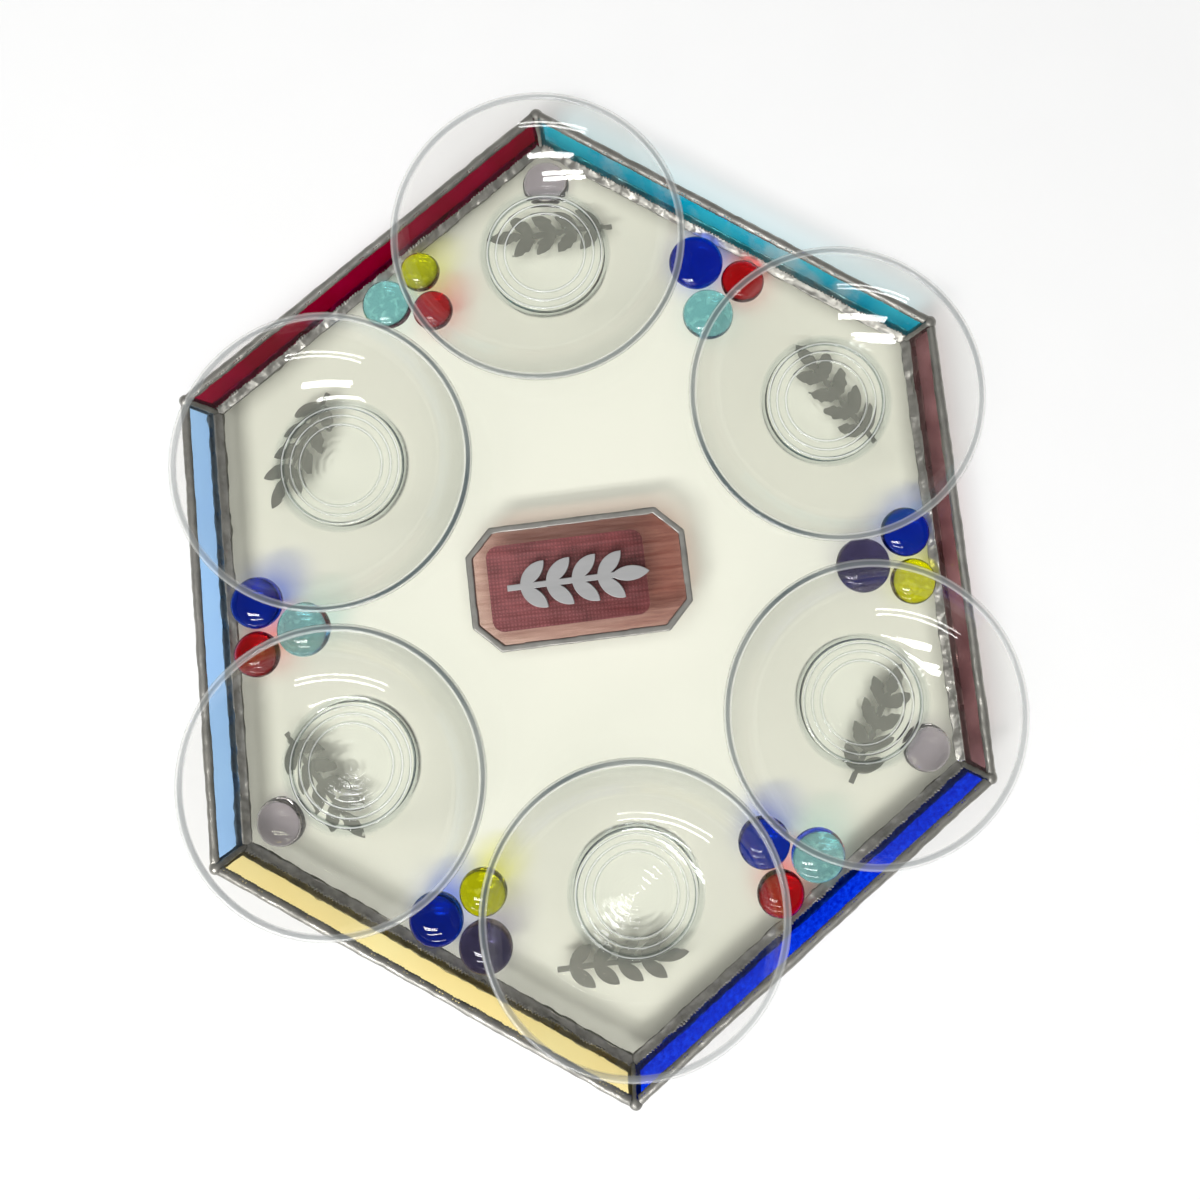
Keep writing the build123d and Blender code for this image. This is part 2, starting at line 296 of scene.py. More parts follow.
# %% Base sheet finish
SHEET_GREEN, SHEET_YELLOW = (0.965, 0.975, 0.845), (0.985, 0.985, 0.87)
SHEET_LIGHT, SHEET_EDGE = (0.995, 0.995, 0.985), (0.93, 0.93, 0.91)
base_finish, pen = new_finish("clear_sheet_glass")
sheet_colour = spots(pen, 25.0).blend(SHEET_GREEN, SHEET_YELLOW)
sheet_bump = bump(pen, 0.03, 0.5 * MM, spots(pen, 60.0, 1.0))
body = glass_body(pen, sheet_colour, Normal=sheet_bump)
show(pen, lit_through(pen, body, SHEET_LIGHT, SHEET_EDGE))
dress(nodes["base_glass"], base_finish)
print("base dressed in", base_finish.name)

# %% [markdown]
# ## Bowl glass
#
# The wall of a bowl is thin and its two faces run side by side, so what lies behind it is hardly moved.
# Bending the light twice there costs much and turns the rim black, because a ray that enters the rim is
# trapped in the wall. So the wall is a film: it lets light straight through, a little greyer where it is seen
# at a slant, and reflects a twenty-fifth of it, or more at a slant. The Fresnel node isn't used for that,
# because it takes the far face of the film for the inside of solid glass and makes it a mirror. Only the thick
# foot bends light. The lip is a thin grey line of painted shade, darkest on the side that faces the middle of
# the tray, with painted pale highlights along its edges. The foot is painted greyer where it is steep, and
# the ridges pressed into the floor get pale lines of painted glint.

# %% The wall and lip of a bowl
FILM_FLAT, FILM_EDGE = (0.975, 0.972, 0.962), (0.36, 0.41, 0.42)
LIP_FROM, LIP_TO = base_top + 25.6 * MM, base_top + 26.0 * MM
# Colours of the painted shade in the lip's line, and the white of the painted glints on the lip and the
# floor's ridges.
LIP_SHADE_CLEAR, LIP_SHADE_GREY = (0.13, 0.16, 0.18), (0.17, 0.205, 0.215)
WHITE, GLINT_WHITE = (1.0, 1.0, 1.0), (0.94, 0.96, 0.94)
MIRROR_FLAT, MIRROR_GRAZED = 0.04, 0.55


def bowl_wall(pen, height, inward, uneven):
    """Glass film: a line of painted shade on its lip, faint where it faces out or is uneven; painted pale
    edges.
    """
    slant = pen.node("LayerWeight", {"Blend": 0.5}, output="Facing")
    seen = pen.node("BsdfTransparent", {"Color": FILM_FLAT})
    edge = pen.node("BsdfTransparent", {"Color": FILM_EDGE})
    lip_shade_clear = pen.node("BsdfTransparent", {"Color": LIP_SHADE_CLEAR})
    lip_shade_grey = pen.node("BsdfDiffuse", {"Color": LIP_SHADE_GREY})
    painted_glint = pen.node("BsdfDiffuse", {"Color": GLINT_WHITE})
    gloss = pen.node("BsdfGlossy", {"Color": WHITE, "Roughness": 0.04})
    cube = slant * slant * slant
    film = mix(pen, cube, seen, edge)
    # Painted shade: a dark line along the top of the lip, darkest on the side that faces the middle of the
    # tray.
    top = 1.0 - slant.between(0.08, 0.20)
    lip_shade_share = top * (0.55 + 0.45 * inward.between(-0.6, 0.4)) * (1.0 - 0.3 * uneven)
    # Painted highlight: pale matt white along the edges of the lip.
    lip_highlight = mix(pen, 0.3 * (1.0 - slant.between(0.45, 0.65)), seen, painted_glint)
    ring = mix(pen, lip_shade_share, lip_highlight, mix(pen, 0.5, lip_shade_clear, lip_shade_grey))
    see_through = mix(pen, height.between(LIP_FROM, LIP_TO), film, ring)
    graze = cube * slant * slant
    return mix(pen, MIRROR_FLAT + MIRROR_GRAZED * graze, see_through, gloss)


# %% The foot of a bowl
RIDGES = (19.4 * MM, 16.6 * MM, 13.6 * MM)
LINE_CORE, LINE_EDGE = 0.10 * MM, 0.30 * MM
CREST_FROM, CREST_TO = base_top + 3.5 * MM, base_top + 4.0 * MM
DROPS_IN, DROPS_OUT = 9.0 * MM, 11.0 * MM
FOOT_SLOPE_SHADE, FOOT_LEVEL = (0.60, 0.64, 0.63), (0.975, 0.985, 0.965)
FOOT_UPRIGHT_SHADE = (0.56, 0.61, 0.61)


def bowl_foot(pen, height, radius, uneven):
    """Thick glass that bends light, with painted shade where it is steep and painted glints on the floor's
    ridges.
    """
    drops = spots(pen, 420.0, 2.0) * (1.0 - radius.between(DROPS_IN, DROPS_OUT))
    pressed = bump(pen, 0.2, 0.8 * MM, spots(pen, 110.0, 1.5) + drops * 0.6)
    level = abs(facing_up(pen))
    # Painted shade: the glass is tinted greyer on its slopes, and its upright faces are made darker still.
    tint = level.between(0.90, 1.0).blend(FOOT_SLOPE_SHADE, FOOT_LEVEL)
    body = glass_body(pen, tint, ior=1.47, Roughness=0.03, Normal=pressed)
    edge = pen.node("BsdfTransparent", {"Color": FOOT_UPRIGHT_SHADE})
    shaded_foot = mix(pen, 1.0 - level.between(0.15, 0.5), body, edge)
    # Painted glints: pale matt white lines along the crests of the floor's ridges.
    painted_glint = pen.node("BsdfDiffuse", {"Color": GLINT_WHITE})
    glint_share = height.between(CREST_FROM, CREST_TO) * (0.65 - 0.35 * uneven)
    glint_lines = [1.0 - abs(radius - ridge).between(LINE_CORE, LINE_EDGE) for ridge in RIDGES]
    return mix(pen, glint_share * (glint_lines[0] + glint_lines[1] + glint_lines[2]), shaded_foot, painted_glint)


# %% A bowl's whole finish
FOOT_END, WALL_START = 21.5 * MM, 22.5 * MM
BOWL_SHADE = (0.70, 0.72, 0.71)
FLAT = Vector((1.0, 1.0, 0.0))


def bowl_finish(name, axis, rim):
    """A film of glass round the solid foot of the bowl that stands on this axis."""
    material, pen = new_finish(name + "_glass")
    spot = pen.node("TexCoord", output="Object")
    height = pen.node("SeparateXYZ", {0: spot}, output="Z")
    plan = pen.node("VectorMath", {0: spot, 1: FLAT}, operation="MULTIPLY")
    arm = pen.node("VectorMath", {0: plan, 1: axis * FLAT}, operation="SUBTRACT")
    radius = pen.node("VectorMath", {0: arm}, operation="LENGTH", output="Value")
    to_middle = ((tray_middle - axis) * FLAT).normalized() / rim
    inward = pen.node("VectorMath", {0: arm, 1: to_middle}, operation="DOT_PRODUCT", output="Value")
    uneven = spots(pen, 22.0, 1.0).between(0.38, 0.62)
    wall = bowl_wall(pen, height, inward, uneven)
    foot = bowl_foot(pen, height, radius, uneven)
    bowl = mix(pen, 1.0 - radius.between(FOOT_END, WALL_START), wall, foot)
    show(pen, lit_through(pen, bowl, WHITE, BOWL_SHADE, 0.25))
    return material


# %% [markdown]
# ## Sheet glass of the walls
#
# Each wall is another sheet. Red and cobalt are clear strong colours, cobalt with a grain of fine bubbles.
# Turquoise has white wisps and mauve is mottled. Amber and sky have a slightly rough face and look nearly the
# same all over. One flat colour each would be quicker, but it looks like plastic, so every sheet has a dark
# and a light colour, mixed by noise of its own grain.

# %% Wall finishes
WISP_WHITE, WISP_SCALE = (0.85, 0.95, 0.95), 70.0
WALL_IOR, WALL_EDGE = 1.12, 0.8
WALLS = {
    "turquoise": dict(
        dark=(0.0, 0.58, 0.86), light=(0.11, 0.85, 1.0), grain=(45.0, 5.0), tint=(0.66, 0.93, 0.97),
        wisps=0.7
    ),
    "mauve": dict(
        dark=(0.24, 0.105, 0.11), light=(0.44, 0.235, 0.24), grain=(80.0, 4.0), tint=(0.85, 0.70, 0.69),
        clear=0.9
    ),
    "cobalt": dict(
        dark=(0.0, 0.016, 0.66), light=(0.004, 0.065, 1.0), grain=(700.0, 2.0), tint=(0.35, 0.45, 0.95),
        rough=0.06
    ),
    "amber": dict(
        dark=(1.0, 0.81, 0.34), light=(1.0, 0.86, 0.40), grain=(30.0, 2.0), tint=(1.0, 0.98, 0.92),
        clear=0.97, rough=0.12
    ),
    "sky": dict(
        dark=(0.36, 0.61, 1.0), light=(0.40, 0.66, 1.0), grain=(30.0, 2.0), tint=(0.97, 0.98, 1.0),
        clear=0.97, rough=0.12
    ),
    "red": dict(
        dark=(0.25, 0.0, 0.016), light=(0.35, 0.0, 0.038), grain=(60.0, 3.0), tint=(0.90, 0.62, 0.62)
    ),
}


def wall_finish(name, dark, light, grain, tint, clear=0.95, rough=0.05, wisps=0.0):
    """Coloured sheet: two colours mixed by its grain, with white wisps if asked. The tint is its shadow's."""
    material, pen = new_finish(name + "_sheet_glass")
    colour = spots(pen, *grain).between(0.35, 0.65).blend(dark, light)
    if wisps:
        smoke = spots(pen, WISP_SCALE, 6.0).between(0.50, 0.64) * wisps
        colour = smoke.blend(colour, WISP_WHITE)
    wave = bump(pen, 0.15, 0.4 * MM, spots(pen, 120.0, 2.0))
    body = glass_body(pen, colour, clear, ior=WALL_IOR, Roughness=rough, Normal=wave)
    show(pen, lit_through(pen, body, tint, dimmed(tint, WALL_EDGE)))
    return material


for wall, look in WALLS.items():
    dress(nodes["wall_glass_" + wall], wall_finish(wall, **look))
print("walls dressed:", ", ".join(WALLS))

# %% [markdown]
# ## Nuggets
#
# A nugget is a gob of molten glass that settled on a plate: flat behind, round in front and never quite a
# circle. Its section, a flat dome with a tighter shoulder, is drawn as a chain of points and spun about its
# axis. A pressed sphere would be quicker, but its dome is too pointed, and the white lines would lie too near
# its middle. A little cloudy displacement takes away the perfect outline, and a cut along the table's plane
# then makes the flat back. A thin line of glue keeps each one just clear of the sheet it is fixed to.


# %% Helpers for modelling
def select_only(obj):
    bpy.ops.object.select_all(action="DESELECT")
    obj.select_set(True)
    bpy.context.view_layer.objects.active = obj


def edit_all(obj):
    """Into edit mode with everything selected."""
    select_only(obj)
    bpy.ops.object.mode_set(mode="EDIT")
    bpy.ops.mesh.select_all(action="SELECT")


def leave_edit():
    bpy.ops.object.mode_set(mode="OBJECT")


def apply_all(obj):
    select_only(obj)
    for modifier in list(obj.modifiers):
        bpy.ops.object.modifier_apply(modifier=modifier.name)


def clouds(name, size):
    texture = bpy.data.textures.new(name, type="CLOUDS")
    texture.noise_scale = size
    texture.noise_depth = 1
    return texture


def lump(obj, texture, strength, middle):
    """Push the surface in and out along its normals by cloudy noise, which is neither at the middle value."""
    modifier = obj.modifiers.new("lumps", "DISPLACE")
    modifier.texture = texture
    modifier.texture_coords = "GLOBAL"
    modifier.strength = strength
    modifier.mid_level = middle


def place(obj, name, body, finish, slot, *replaced):
    """Name a piece, give it its finish and its body, and hide the CAD nodes it stands for, if any."""
    obj.name = name
    obj.data.name = name
    dress(obj, finish)
    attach(obj, body)
    if replaced:
        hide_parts(*replaced)


# %% Nugget finishes
# The colour of each kind, the tint of its shadow, and how much its bubbles show.
NUGGETS = {
    "blue": ((0.004, 0.045, 0.52), (0.40, 0.50, 0.95)),
    "red": ((0.55, 0.006, 0.012), (0.98, 0.42, 0.42)),
    "aqua": ((0.34, 0.69, 0.76), (0.82, 0.95, 0.96), 0.8),
    "yellow": ((0.80, 0.80, 0.0), (0.98, 0.97, 0.40), 0.8),
    "purple": ((0.12, 0.105, 0.23), (0.70, 0.68, 0.78)),
    "lavender": ((0.74, 0.70, 0.78), (0.90, 0.88, 0.92)),
}
NUGGET_DEEP, NUGGET_EDGE = 0.8, 0.6


def nugget_finish(name, colour, tint, bubbles=0.0):
    """Clear coloured glass, some with a scatter of fine bubbles."""
    material, pen = new_finish(name + "_nugget_glass")
    shade = spots(pen, 140.0, 2.0).blend(dimmed(colour, NUGGET_DEEP), colour)
    if bubbles:
        seeds = spots(pen, 420.0, 1.0).between(0.58, 0.68) * bubbles
        shade = seeds.blend(shade, [min(v * 1.25 + 0.1, 1.0) for v in colour])
    body = glass_body(pen, shade, Roughness=0.06)
    show(pen, lit_through(pen, body, tint, dimmed(tint, NUGGET_EDGE)))
    return material


nugget_finishes = {name: nugget_finish(name, *look) for name, look in NUGGETS.items()}
print("nugget finishes:", ", ".join(nugget_finishes))


# %% Draw a section and spin it
def arc(centre, radius, start, end, steps):
    """Points of an arc in the section, from one angle to another."""
    turns = [start + (end - start) * i / steps for i in range(steps + 1)]
    return [(centre[0] + radius * math.cos(t), centre[1] + radius * math.sin(t)) for t in turns]


def turn(section, middle, base, steps):
    """Spin a section, given as distances out and up, about the upright axis through middle."""
    bpy.ops.object.select_all(action="DESELECT")
    bpy.ops.mesh.primitive_plane_add(size=MM, location=(0, 0, 0))
    turned = bpy.context.object
    edit_all(turned)
    bpy.ops.mesh.merge(type="CENTER")
    at = Vector((middle.x + section[0][0], middle.y, base + section[0][1]))
    bpy.ops.transform.translate(value=at)
    for (r0, z0), (r1, z1) in zip(section, section[1:]):
        bpy.ops.mesh.extrude_vertices_move(TRANSFORM_OT_translate={"value": (r1 - r0, 0, z1 - z0)})
    bpy.ops.mesh.select_all(action="SELECT")
    axis_spot = (middle.x, middle.y, 0)
    bpy.ops.mesh.spin(steps=steps, angle=2 * math.pi, center=axis_spot, axis=(0, 0, 1))
    bpy.ops.mesh.select_all(action="SELECT")
    bpy.ops.mesh.remove_doubles(threshold=0.01 * MM)
    bpy.ops.mesh.normals_make_consistent(inside=False)
    leave_edit()
    return turned


# %% A nugget's section
BELT, SHOULDER, BACK_INSET = 2.7 * MM, 2.7 * MM, 2.2 * MM
FLANK = ((BACK_INSET, 0), (0.8 * MM, 0.9 * MM), (0.2 * MM, 1.8 * MM))
SPARE = 0.8 * MM
GOB_ARC = 8


def nugget_section(radius, tall):
    """From the axis at the back, drawn lower than it will be cut, round the belt to the top of the dome."""
    rise = tall - BELT
    cap = (radius**2 - 2 * radius * SHOULDER + rise**2) / (2 * (rise - SHOULDER))
    hip = math.atan2(tall - cap - BELT, SHOULDER - radius) + math.pi
    points = [(0, -SPARE), (radius * 0.5, -SPARE), (radius - BACK_INSET - 0.5 * SPARE, -SPARE)]
    points += [(radius - inset, up) for inset, up in FLANK]
    points += arc((radius - SHOULDER, BELT), SHOULDER, 0, hip, GOB_ARC)
    return points + arc((0, tall - cap), cap, hip, math.pi / 2, GOB_ARC)[1:]


# %% Nuggets and feet
GLUE, FOOT_CLEAR = 0.05 * MM, 0.4 * MM
GOB_FIT, GOB_STEPS = 0.985, 64
GOB_LUMPS, GOB_MIDDLE = 0.3 * MM, 0.6
GOB_SMOOTH = math.radians(40)
gob_shape = clouds("gob_shape", 9.0 * MM)
nugget_boxes = [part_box(node) for node in nodes if node.startswith("nugget_")]
dome_height = max(high.z - low.z for low, high in nugget_boxes)


def cut_off(height, way):
    """Cut the mesh in hand level at this height, and drop what lies this way, up or down, from there."""
    bpy.ops.mesh.select_all(action="SELECT")
    bpy.ops.mesh.bisect(plane_co=(0, 0, height), plane_no=(0, 0, way), use_fill=True, clear_outer=True)


def nugget(node, finish, slot, dome_up):
    """One nugget in the box of its CAD node. A foot has its dome down, ground flat where it stands."""
    low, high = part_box(node)
    middle, size = (low + high) / 2, high - low
    side = 1 if dome_up else -1
    back = low.z + GLUE if dome_up else high.z - GLUE
    tall = dome_height - GLUE if dome_up else dome_height - FOOT_CLEAR
    section = nugget_section(size.x / 2 * GOB_FIT, tall)
    gob = turn([(r, side * z) for r, z in section], middle, back, GOB_STEPS)
    lump(gob, gob_shape, GOB_LUMPS, GOB_MIDDLE)
    apply_all(gob)
    edit_all(gob)
    cut_off(back, -side)
    if not dome_up:
        cut_off(low.z, -1)
    bpy.ops.mesh.select_all(action="SELECT")
    bpy.ops.mesh.normals_make_consistent(inside=False)
    leave_edit()
    bpy.ops.object.shade_smooth_by_angle(angle=GOB_SMOOTH)
    place(gob, "glass_" + node, "tray", finish, slot, node)


for node in sorted(nodes):
    if node.startswith("nugget_"):
        colour = node.split("_")[2]
        nugget(node, nugget_finishes[colour], colour + "_nugget", True)
    elif node.startswith("foot_"):
        nugget(node, nugget_finishes["lavender"], "lavender_nugget", False)

# %% [markdown]
# ## Bowls
#
# A bowl is turned: its section is drawn once as a chain of points, from the hollow under the foot, round the
# foot ring, up the outside, over the lip and down the inside, and spun about its axis. A sphere with a
# Solidify modifier would be quicker, but it couldn't have the thick foot and the rippled floor, and those are
# what bend the light.

# %% The floor of a bowl
RIDGE_TALL, RIDGE_WIDE = 0.35 * MM, 1.3 * MM
RIPPLE_TALL, RIPPLE_LONG, RIPPLE_EDGE = 0.12 * MM, 2.4 * MM, 12.0 * MM


def floor_relief(reach):
    """How high the pressed ridges and ripples stand on the floor, at this distance from the axis."""
    off = min(abs(reach - ridge) for ridge in RIDGES) / (RIDGE_WIDE / 2)
    ridge = RIDGE_TALL * (0.5 + 0.5 * math.cos(math.pi * min(off, 1)))
    waves = max(RIPPLE_EDGE - reach, 0) / RIPPLE_LONG
    return ridge + RIPPLE_TALL * (0.5 - 0.5 * math.cos(2 * math.pi * waves))


print("highest ridge in mm", round(max(floor_relief(ridge) for ridge in RIDGES) / MM, 2))

# %% The bowl's section
BOWL_WALL = 2.6 * MM
LIP_HEIGHT, LIP_BULGE = 24.62 * MM, 0.25 * MM
FOOT_RADIUS, FOOT_HEIGHT = 20.5 * MM, 2.7 * MM
FOOT_RING, FOOT_RECESS, FOOT_EDGE = 3.6 * MM, 1.4 * MM, 0.9 * MM
FLOOR_HEIGHT, FLOOR_ROUND = 5.0 * MM, 20.0 * MM
EDGE_STEPS, OUTER_STEPS, LIP_STEPS, INNER_STEPS = 4, 26, 12, 24
ROUND_STEPS, FLOOR_STEPS = 60, 80


def bowl_section(rim):
    """The section from the axis under the foot to the axis on the floor, as distances out and up."""
    rise = LIP_HEIGHT - FOOT_HEIGHT
    hub = (rim**2 + LIP_HEIGHT**2 - FOOT_RADIUS**2 - FOOT_HEIGHT**2) / (2 * rise)
    outer = math.hypot(FOOT_RADIUS, hub - FOOT_HEIGHT)
    inner = outer - BOWL_WALL
    foot_turn = math.atan2(FOOT_HEIGHT - hub, FOOT_RADIUS)
    lip_turn = math.atan2(LIP_HEIGHT - hub, rim)
    drop = hub - FLOOR_HEIGHT - FLOOR_ROUND
    flat = math.sqrt((inner - FLOOR_ROUND) ** 2 - drop**2)
    floor_turn = math.atan2(-drop, flat)
    lip_middle = outer - BOWL_WALL / 2
    lip_centre = (lip_middle * math.cos(lip_turn), hub + lip_middle * math.sin(lip_turn))
    ring = FOOT_RADIUS - FOOT_RING
    hollow = [ring * step / FLOOR_STEPS for step in range(FLOOR_STEPS + 1)]
    points = [(r, FOOT_RECESS * (0.5 + 0.5 * math.cos(math.pi * r / ring))) for r in hollow]
    edge_centre = (FOOT_RADIUS - FOOT_EDGE, FOOT_EDGE)
    points += arc(edge_centre, FOOT_EDGE, -math.pi / 2, 0, EDGE_STEPS)
    points += arc((0, hub), outer, foot_turn, lip_turn, OUTER_STEPS)
    points += arc(lip_centre, BOWL_WALL / 2, lip_turn, lip_turn + math.pi, LIP_STEPS)[1:-1]
    points += arc((0, hub), inner, lip_turn, floor_turn, INNER_STEPS)
    round_centre = (flat, FLOOR_HEIGHT + FLOOR_ROUND)
    inside = arc(round_centre, FLOOR_ROUND, floor_turn, -math.pi / 2, ROUND_STEPS)[1:]
    inside += [(flat * (1 - step / FLOOR_STEPS), FLOOR_HEIGHT) for step in range(1, FLOOR_STEPS + 1)]
    return points + [(r, z + floor_relief(r)) for r, z in inside]


# %% Turn the bowls
BOWL_STEPS = 144
BOWL_SMOOTH = math.radians(35)
for node in sorted(n for n in nodes if n.startswith("bowl_")):
    low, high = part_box(node)
    spot = (low + high) / 2
    rim = (high.x - low.x) / 2 - LIP_BULGE
    bowl = turn(bowl_section(rim), spot, low.z + GLUE, BOWL_STEPS)
    bpy.ops.object.shade_smooth_by_angle(angle=BOWL_SMOOTH)
    corner = node.removeprefix("bowl_")
    place(bowl, "glass_" + node, corner + "_bowl", bowl_finish(node, spot, rim), "bowl_glass", node)
print("bowl faces", len(bowl.data.polygons))

# %% [markdown]
# ## Solder
#
# The sheets are edged with copper foil and joined with tin solder run on by hand, so the seams swell and
# pinch, and their edges wander. A bump in the finish would be quicker, but it leaves the edges straight. So a
# copy of each CAD seam is remeshed into an even skin of small faces, and cloudy noise then moves that skin.
# The lumps stand a little outside the seam, so each piece is then drawn in by a hair towards the middle of the
# tray. Solder is a soft grey metal, blotched at random with rubbed tin and patina; its colour is also painted
# lighter where it faces up and darker where it is steep, as painted light and shade.

# %% Solder finish
PATINA_AND_SHADE, RUBBED_AND_LIT_TIN = (0.14, 0.14, 0.125), (0.52, 0.505, 0.465)
solder, pen = new_finish("tin_solder")
blotch = spots(pen, 160.0, 4.0)
fine = spots(pen, 900.0, 2.0)
# Painted light and shade: half of this mix makes the tin lighter where it faces up and darker where it is
# steep; the other half is random blotches of rubbed tin and patina.
lit_tops_and_wear = facing_up(pen).between(0.3, 0.9) * 0.5 + blotch.between(0.3, 0.7) * 0.5
dull = 0.50 - 0.20 * blotch.between(0.35, 0.65)
tin = {
    "Base Color": lit_tops_and_wear.blend(PATINA_AND_SHADE, RUBBED_AND_LIT_TIN),
    "Metallic": 0.7,
    "Roughness": dull,
    "Normal": bump(pen, 0.35, 0.4 * MM, fine * 0.3 + blotch),
}
show(pen, pen.node("BsdfPrincipled", tin))
print("solder finish", solder.name)


# %% A copy of a CAD node
def cad_copy(node):
    """A copy of a CAD node with a mesh of its own, its loose triangles merged."""
    select_only(nodes[node])
    bpy.ops.object.duplicate()
    copy = bpy.context.object
    copy.parent = None
    for key in list(copy.keys()):
        del copy[key]
    edit_all(copy)
    bpy.ops.mesh.remove_doubles(threshold=0.005 * MM)
    leave_edit()
    return copy


# %% Solder pieces
SKIN, SOFTEN, SOFTEN_TIMES = 0.3 * MM, 0.5, 4
SOLDER_MIDDLE, DRIP_SHARE = 0.45, 0.4
DRAW_IN = Vector((0.9994, 0.9994, 1))
SWELLS = {"rim_solder": 0.5, "floor_seam": 1.1, "corner_solder": 0.7, "plaque_solder": 0.25}
run_shape = clouds("run_shape", 7.0 * MM)
drip_shape = clouds("drip_shape", 2.5 * MM)


def run_solder(node, swell):
    """Solder in place of a CAD node: an even skin, moved by two sizes of noise."""
    piece = cad_copy(node)
    skin = piece.modifiers.new("skin", "REMESH")
    skin.mode = "VOXEL"
    skin.voxel_size = SKIN
    soften = piece.modifiers.new("soften", "SMOOTH")
    soften.factor, soften.iterations = SOFTEN, SOFTEN_TIMES
    lump(piece, run_shape, swell, SOLDER_MIDDLE)
    lump(piece, drip_shape, swell * DRIP_SHARE, SOLDER_MIDDLE)
    apply_all(piece)
    edit_all(piece)
    bpy.ops.transform.resize(value=DRAW_IN, center_override=tray_middle)
    leave_edit()
    bpy.ops.object.shade_smooth()
    name = node.replace("_solder", "").replace("_seam", "") + "_tin"
    place(piece, name, "tray", solder, "solder", node)


for node in sorted(nodes):
    for kind, swell in SWELLS.items():
        if node.startswith(kind):
            run_solder(node, swell * MM)

# %% [markdown]
# ## Plaque
#
# The plaque is rose glass with streaks along its length, stuck down on a woven pad that shows through it. Its
# colour is painted paler towards its left end and darker towards its right, as painted light and shade. The
# threads could be modelled, but they are seen only through the glass, so two waves that cross, in the pad's
# colour and bump, are enough.

# %% Plaque glass
ROSE_DARK_AND_SHADED, ROSE_PALE_AND_LIT = (0.38, 0.155, 0.135), (1.0, 0.75, 0.70)
ROSE_SHADOW, ROSE_EDGE = (0.80, 0.64, 0.60), (0.66, 0.52, 0.49)
rose, pen = new_finish("rose_sheet_glass")
streak = spots(pen, 700.0, stretch=(0.08, 1.0, 1.0))
left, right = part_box("plaque_glass")
along = pen.node("SeparateXYZ", {0: pen.node("TexCoord", output="Object")}, output="X")
# Painted light and shade: the glass is painted paler towards its left end and darker towards its right, mixed
# with its streaks.
lit_towards_left = 1.0 - along.between(left.x, right.x)
rose_colour = (0.5 * streak.between(0.3, 0.7) + 0.5 * lit_towards_left).blend(ROSE_DARK_AND_SHADED, ROSE_PALE_AND_LIT)
rose_bump = bump(pen, 0.12, 0.4 * MM, streak)
body = glass_body(pen, rose_colour, 0.95, Roughness=0.05, Normal=rose_bump)
show(pen, lit_through(pen, body, ROSE_SHADOW, ROSE_EDGE))
dress(nodes["plaque_glass"], rose)
print("plaque dressed in", rose.name)

# %% Woven pad
THREADS, WANDER = 260.0, 2.0
PAD_DARK, PAD_LIGHT = (0.155, 0.08, 0.125), (0.69, 0.385, 0.53)
PAD_FLAT = (1, 1, 0.92)
woven, pen = new_finish("woven_pad")
cloth = {"Vector": pen.node("TexCoord", output="Object"), "Scale": THREADS, "Distortion": WANDER}
warp = pen.node("TexWave", cloth, output="Fac", bands_direction="X")
weft = pen.node("TexWave", cloth, output="Fac", bands_direction="Y")
threads = warp * weft
worn = threads * 0.45 + spots(pen, 90.0, 4.0).between(0.3, 0.7) * 0.55
pad_colour = worn.blend(PAD_DARK, PAD_LIGHT)
pad_bump = bump(pen, 0.4, 0.3 * MM, threads)
show(pen, pen.node("BsdfPrincipled", {"Base Color": pad_colour, "Roughness": 0.8, "Normal": pad_bump}))
pad = cad_copy("plaque_pad")
low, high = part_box("plaque_pad")
edit_all(pad)
bpy.ops.transform.resize(value=PAD_FLAT, center_override=(low + high) / 2)
leave_edit()
place(pad, "plaque_cloth", "tray", woven, "pad", "plaque_pad")
print("pad in mm", [round(v / MM, 1) for v in pad.dimensions])

# %% [markdown]
# ## Sprigs on the base
#
# Each bowl has its place marked on the glass in grey. A copy of the plaque's sprig, pressed flat, is laid on
# the underside of the base near every corner, square to the line from the middle to that corner. A mask in
# the glass's finish could paint it too, but thin leaves of their own keep a sharp outline from any distance.

# %% Grey paint, and where it goes
PAINT_DARK, PAINT_LIGHT = (0.20, 0.20, 0.20), (0.27, 0.27, 0.27)
grey, pen = new_finish("grey_glass_paint")
paint_colour = spots(pen, 300.0).blend(PAINT_DARK, PAINT_LIGHT)
show(pen, pen.node("BsdfPrincipled", {"Base Color": paint_colour, "Roughness": 0.6}))


def base_corners():
    """Corners of the base sheet by the names of the solder posts that stand on them."""
    found = {}
    verts = [v.co for v in nodes["base_glass"].data.vertices]
    for node in nodes:
        if node.startswith("corner_solder_"):
            low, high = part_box(node)
            post = (low + high) / 2
            found[node.removeprefix("corner_solder_")] = min(verts, key=lambda v: (v - post).length)
    return found


corners = base_corners()
print("corners:", ", ".join(sorted(corners)))

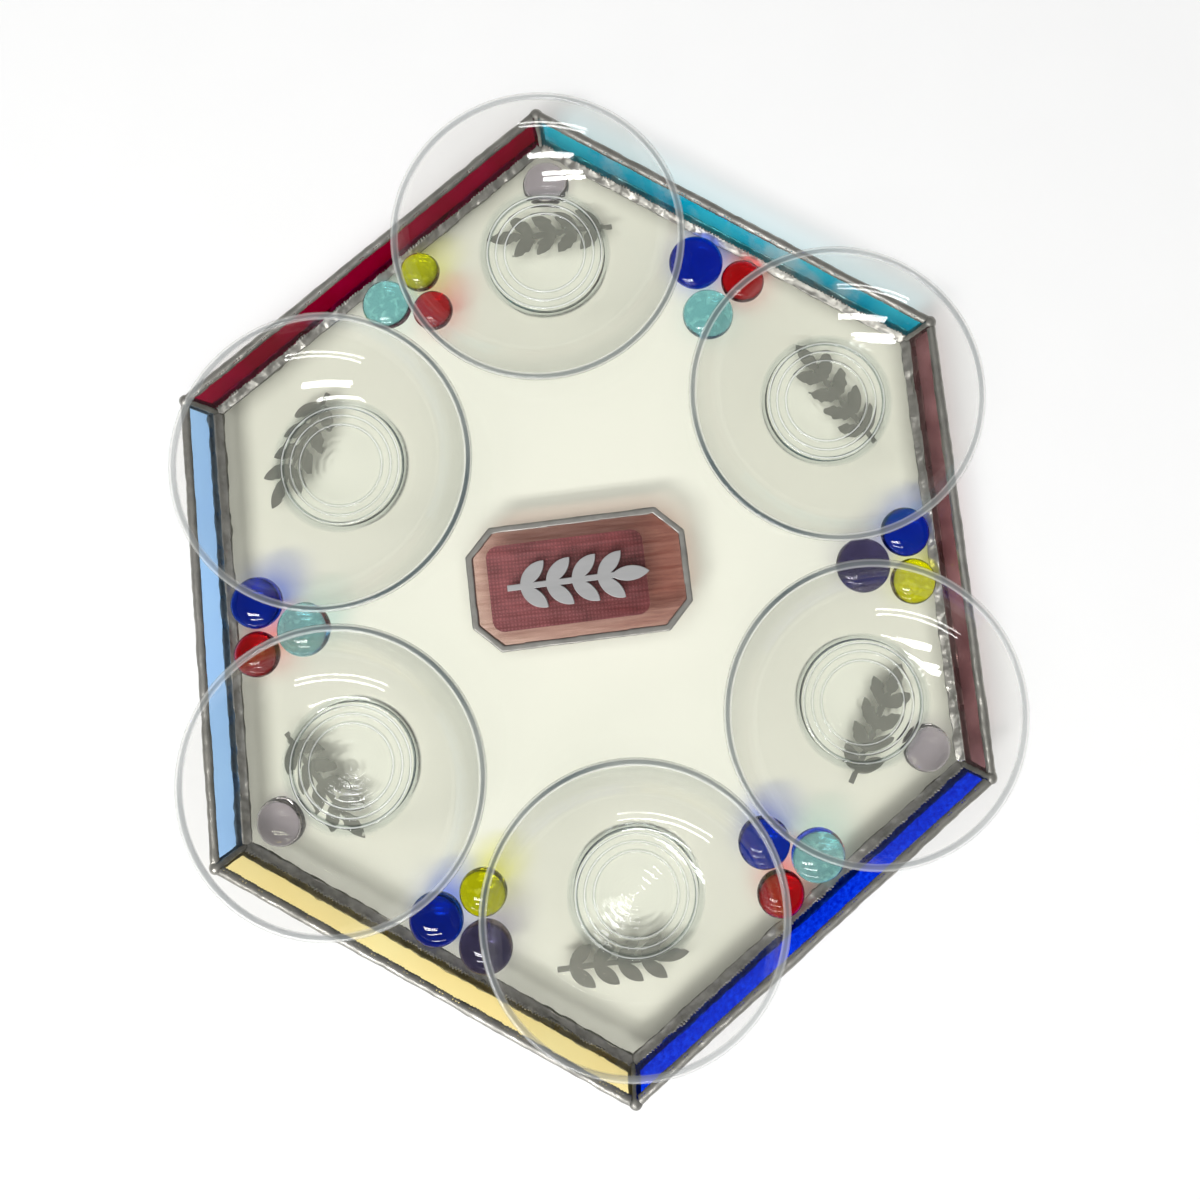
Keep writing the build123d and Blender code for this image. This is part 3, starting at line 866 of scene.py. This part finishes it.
# %% Flat sprigs
DECAL_INSET, DECAL_THICK, DECAL_SCALE = 30.0 * MM, 0.06 * MM, 0.92
sprig_low, sprig_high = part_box("plaque_sprig")
sprig_middle = (sprig_low + sprig_high) / 2
flatten = DECAL_THICK / (sprig_high.z - sprig_low.z)
for name, corner in sorted(corners.items()):
    out = (Vector(corner) - tray_middle) * FLAT
    spot = Vector(corner) - out.normalized() * DECAL_INSET
    angle = math.atan2(out.x, -out.y)
    decal = cad_copy("plaque_sprig")
    edit_all(decal)
    bpy.ops.transform.resize(value=(DECAL_SCALE, DECAL_SCALE, flatten), center_override=sprig_middle)
    bpy.ops.transform.rotate(value=-angle, orient_axis="Z", center_override=sprig_middle)
    move = Vector((spot.x, spot.y, base_bottom - DECAL_THICK)) - sprig_middle
    bpy.ops.transform.translate(value=move)
    leave_edit()
    place(decal, "base_leaves_" + name, "tray", grey, "satin_metal")

# %% [markdown]
# ## Raised sprig
#
# The sprig on the plaque is satin metal and keeps its thickness. It could be drawn afresh, but a copy of the
# CAD node has the outline already. Its triangles are first joined into whole faces, so that the bevel rounds
# only the real edges, which then catch the light.

# %% Raised sprig
SATIN_DARK, SATIN_LIGHT = (0.44, 0.44, 0.44), (0.54, 0.54, 0.54)
ROUNDING, ROUNDING_STEPS = 0.2 * MM, 2
satin, pen = new_finish("satin_metal")
satin_colour = spots(pen, 500.0, stretch=(0.15, 1.0, 1.0)).blend(SATIN_DARK, SATIN_LIGHT)
show(pen, pen.node("BsdfPrincipled", {"Base Color": satin_colour, "Metallic": 0.5, "Roughness": 0.45}))
sprig = cad_copy("plaque_sprig")
edit_all(sprig)
bpy.ops.mesh.dissolve_limited(angle_limit=math.radians(1))
leave_edit()
rounding = sprig.modifiers.new("rounding", "BEVEL")
rounding.width, rounding.segments, rounding.limit_method = ROUNDING, ROUNDING_STEPS, "ANGLE"
apply_all(sprig)
bpy.ops.object.shade_flat()
place(sprig, "plaque_leaves", "tray", satin, "satin_metal", "plaque_sprig")
print("sprig faces", len(sprig.data.polygons))

# %% [markdown]
# ## Close
#
# The box of the dressed model is printed in millimetres. The dressed model must stay inside the CAD
# model's box.

# %% Size of the dressed model
low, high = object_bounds()
print("visual box in mm", [round(v / MM, 1) for v in high - low])
